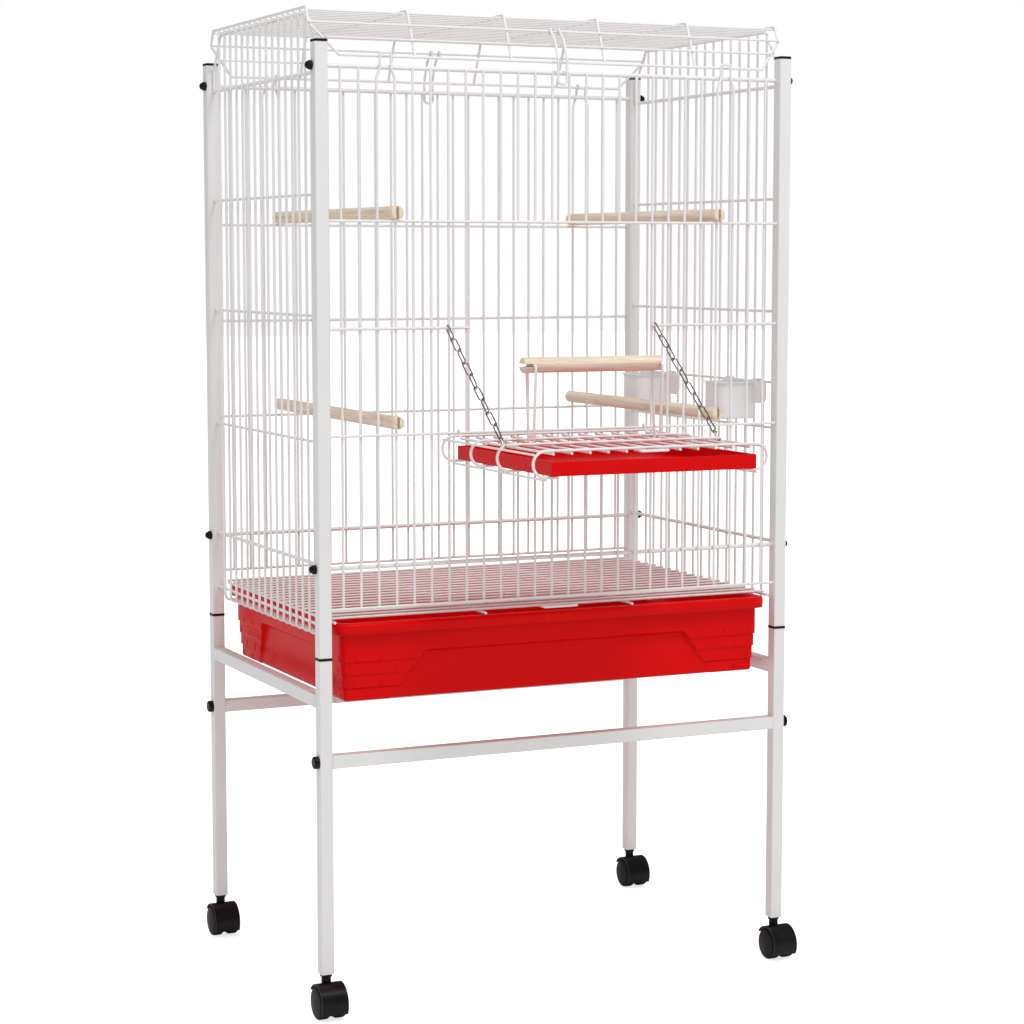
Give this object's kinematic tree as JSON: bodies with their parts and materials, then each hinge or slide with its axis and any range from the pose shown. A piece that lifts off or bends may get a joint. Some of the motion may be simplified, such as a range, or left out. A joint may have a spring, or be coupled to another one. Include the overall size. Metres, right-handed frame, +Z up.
{
  "type": "bird cage on stand",
  "caption": "Wire bird cage on a square-tube stand with casters, with opening roof hood, fold-down platform door, pull-out floor grid and litter tray.",
  "frame": {"origin": "on the floor at the centre of the four posts", "axes": "+Z up, front with the platform door towards -Y, right side with the feeder cups towards +X"},
  "size_m": [0.828, 0.8695, 1.5071],
  "materials": {
    "grey_coat": "semi-gloss powder coat",
    "black_plastic": "satin",
    "steel_chain": "plated",
    "wheel_tread": "satin",
    "white_coat": "semi-gloss powder coat",
    "wood": "sanded, unvarnished",
    "white_plastic": "smooth gloss",
    "red_plastic": "smooth gloss"
  },
  "bodies": {
    "stand": {"lower_leg_front_left": "grey_coat", "upper_post_front_left": "grey_coat", "lower_leg_front_right": "grey_coat", "upper_post_front_right": "grey_coat", "lower_leg_rear_left": "grey_coat", "upper_post_rear_left": "grey_coat", "lower_leg_rear_right": "grey_coat", "upper_post_rear_right": "grey_coat", "side_beam_left": "grey_coat", "left_panel": "white_coat", "perch_upper_left": "wood", "perch_lower_left": "wood", "side_beam_right": "grey_coat", "right_panel": "white_coat", "perch_upper_right": "wood", "perch_lower_right": "wood", "front_rail": "grey_coat", "front_panel": "white_coat", "rear_rail": "grey_coat", "rear_panel": "white_coat", "leg_couplers": "black_plastic", "post_caps": "black_plastic", "caster_sockets": "black_plastic", "rail_bolts": "black_plastic", "cap_nuts": "black_plastic"},
    "caster_front_left": {"caster_front_left_hood": "black_plastic", "caster_front_left_axle": "steel_chain"},
    "caster_front_left_left_wheel": {"caster_front_left_left_wheel": "wheel_tread"},
    "caster_front_left_right_wheel": {"caster_front_left_right_wheel": "wheel_tread"},
    "caster_front_right": {"caster_front_right_hood": "black_plastic", "caster_front_right_axle": "steel_chain"},
    "caster_front_right_left_wheel": {"caster_front_right_left_wheel": "wheel_tread"},
    "caster_front_right_right_wheel": {"caster_front_right_right_wheel": "wheel_tread"},
    "caster_rear_left": {"caster_rear_left_hood": "black_plastic", "caster_rear_left_axle": "steel_chain"},
    "caster_rear_left_left_wheel": {"caster_rear_left_left_wheel": "wheel_tread"},
    "caster_rear_left_right_wheel": {"caster_rear_left_right_wheel": "wheel_tread"},
    "caster_rear_right": {"caster_rear_right_hood": "black_plastic", "caster_rear_right_axle": "steel_chain"},
    "caster_rear_right_left_wheel": {"caster_rear_right_left_wheel": "wheel_tread"},
    "caster_rear_right_right_wheel": {"caster_rear_right_right_wheel": "wheel_tread"},
    "drawer_tray": {"drawer_tray": "red_plastic"},
    "floor_grid": {"floor_grid": "white_coat"},
    "platform_door": {"platform_door": "white_coat", "platform_perch": "wood", "perch_brackets": "white_coat"},
    "door_tray": {"door_tray": "red_plastic"},
    "roof": {"roof_hood": "white_coat"},
    "roof_latch_front": {"roof_latch_front": "white_coat"},
    "roof_latch_rear": {"roof_latch_rear": "white_coat"},
    "chain_left_upper": {"chain_left_upper": "steel_chain"},
    "chain_left_lower": {"chain_left_lower": "steel_chain"},
    "chain_right_upper": {"chain_right_upper": "steel_chain"},
    "chain_right_lower": {"chain_right_lower": "steel_chain"},
    "feeder_cup_front": {"feeder_cup_front": "white_plastic"},
    "feeder_cup_rear": {"feeder_cup_rear": "white_plastic"}
  },
  "joints": [
    {"name": "caster_front_left_swivel", "type": "hinge", "parent": "stand", "child": "caster_front_left", "pos_m": [-0.39, -0.2565, 0], "axis": [0, 0, 1], "continuous": true},
    {"name": "caster_front_left_left_wheel_spin", "type": "hinge", "parent": "caster_front_left", "child": "caster_front_left_left_wheel", "pos_m": [-0.39, -0.2685, 0.025], "axis": [1, 0, 0], "continuous": true},
    {"name": "caster_front_left_right_wheel_spin", "type": "hinge", "parent": "caster_front_left", "child": "caster_front_left_right_wheel", "pos_m": [-0.39, -0.2685, 0.025], "axis": [1, 0, 0], "continuous": true},
    {"name": "caster_front_right_swivel", "type": "hinge", "parent": "stand", "child": "caster_front_right", "pos_m": [0.39, -0.2565, 0], "axis": [0, 0, 1], "continuous": true},
    {"name": "caster_front_right_left_wheel_spin", "type": "hinge", "parent": "caster_front_right", "child": "caster_front_right_left_wheel", "pos_m": [0.39, -0.2685, 0.025], "axis": [1, 0, 0], "continuous": true},
    {"name": "caster_front_right_right_wheel_spin", "type": "hinge", "parent": "caster_front_right", "child": "caster_front_right_right_wheel", "pos_m": [0.39, -0.2685, 0.025], "axis": [1, 0, 0], "continuous": true},
    {"name": "caster_rear_left_swivel", "type": "hinge", "parent": "stand", "child": "caster_rear_left", "pos_m": [-0.39, 0.2565, 0], "axis": [0, 0, 1], "continuous": true},
    {"name": "caster_rear_left_left_wheel_spin", "type": "hinge", "parent": "caster_rear_left", "child": "caster_rear_left_left_wheel", "pos_m": [-0.39, 0.2445, 0.025], "axis": [1, 0, 0], "continuous": true},
    {"name": "caster_rear_left_right_wheel_spin", "type": "hinge", "parent": "caster_rear_left", "child": "caster_rear_left_right_wheel", "pos_m": [-0.39, 0.2445, 0.025], "axis": [1, 0, 0], "continuous": true},
    {"name": "caster_rear_right_swivel", "type": "hinge", "parent": "stand", "child": "caster_rear_right", "pos_m": [0.39, 0.2565, 0], "axis": [0, 0, 1], "continuous": true},
    {"name": "caster_rear_right_left_wheel_spin", "type": "hinge", "parent": "caster_rear_right", "child": "caster_rear_right_left_wheel", "pos_m": [0.39, 0.2445, 0.025], "axis": [1, 0, 0], "continuous": true},
    {"name": "caster_rear_right_right_wheel_spin", "type": "hinge", "parent": "caster_rear_right", "child": "caster_rear_right_right_wheel", "pos_m": [0.39, 0.2445, 0.025], "axis": [1, 0, 0], "continuous": true},
    {"name": "drawer_tray_slide", "type": "slide", "parent": "stand", "child": "drawer_tray", "axis": [0, -1, 0], "range_m": [0, 0.45]},
    {"name": "floor_grid_slide", "type": "slide", "parent": "stand", "child": "floor_grid", "axis": [0, -1, 0], "range_m": [0, 0.45]},
    {"name": "door_hinge", "type": "hinge", "parent": "stand", "child": "platform_door", "pos_m": [0, -0.2615, 0.8765], "axis": [-1, 0, 0], "range_deg": [0, 90]},
    {"name": "door_tray_slide", "type": "slide", "parent": "platform_door", "child": "door_tray", "axis": [0, -1, 0], "range_m": [0, 0.3]},
    {"name": "roof_hinge", "type": "hinge", "parent": "stand", "child": "roof", "pos_m": [0, 0.25, 1.435], "axis": [-1, 0, 0], "range_deg": [0, 100]},
    {"name": "front_latch_swing", "type": "hinge", "parent": "roof", "child": "roof_latch_front", "pos_m": [0, -0.23335, 1.48248], "axis": [-1, 0, 0], "range_deg": [0, 100]},
    {"name": "rear_latch_swing", "type": "hinge", "parent": "roof", "child": "roof_latch_rear", "pos_m": [0, 0.23335, 1.48248], "axis": [1, 0, 0], "range_deg": [0, 100]},
    {"name": "chain_left_upper_swing", "type": "hinge", "parent": "stand", "child": "chain_left_upper", "pos_m": [-0.19002, -0.2615, 1.035], "axis": [1, 0, 0], "range_deg": [-39, 0]},
    {"name": "chain_left_lower_swing", "type": "hinge", "parent": "chain_left_upper", "child": "chain_left_lower", "pos_m": [-0.19002, -0.34673, 0.96705], "axis": [1, 0, 0], "range_deg": [0, 90]},
    {"name": "chain_right_upper_swing", "type": "hinge", "parent": "stand", "child": "chain_right_upper", "pos_m": [0.16137, -0.2615, 1.035], "axis": [1, 0, 0], "range_deg": [-39, 0]},
    {"name": "chain_right_lower_swing", "type": "hinge", "parent": "chain_right_upper", "child": "chain_right_lower", "pos_m": [0.16137, -0.34673, 0.96705], "axis": [1, 0, 0], "range_deg": [0, 90]},
    {"name": "feeder_cup_front_lift", "type": "slide", "parent": "stand", "child": "feeder_cup_front", "axis": [0, 0, 1], "range_m": [0, 0.05]},
    {"name": "feeder_cup_rear_lift", "type": "slide", "parent": "stand", "child": "feeder_cup_rear", "axis": [0, 0, 1], "range_m": [0, 0.05]}
  ],
  "couplings": [
    {"joint": "rear_latch_swing", "follows": "roof_hinge", "ratio": 1},
    {"joint": "chain_left_upper_swing", "follows": "door_hinge", "ratio": -0.4285},
    {"joint": "chain_left_lower_swing", "follows": "door_hinge", "ratio": 1},
    {"joint": "chain_right_upper_swing", "follows": "door_hinge", "ratio": -0.4285},
    {"joint": "chain_right_lower_swing", "follows": "door_hinge", "ratio": 1}
  ]
}
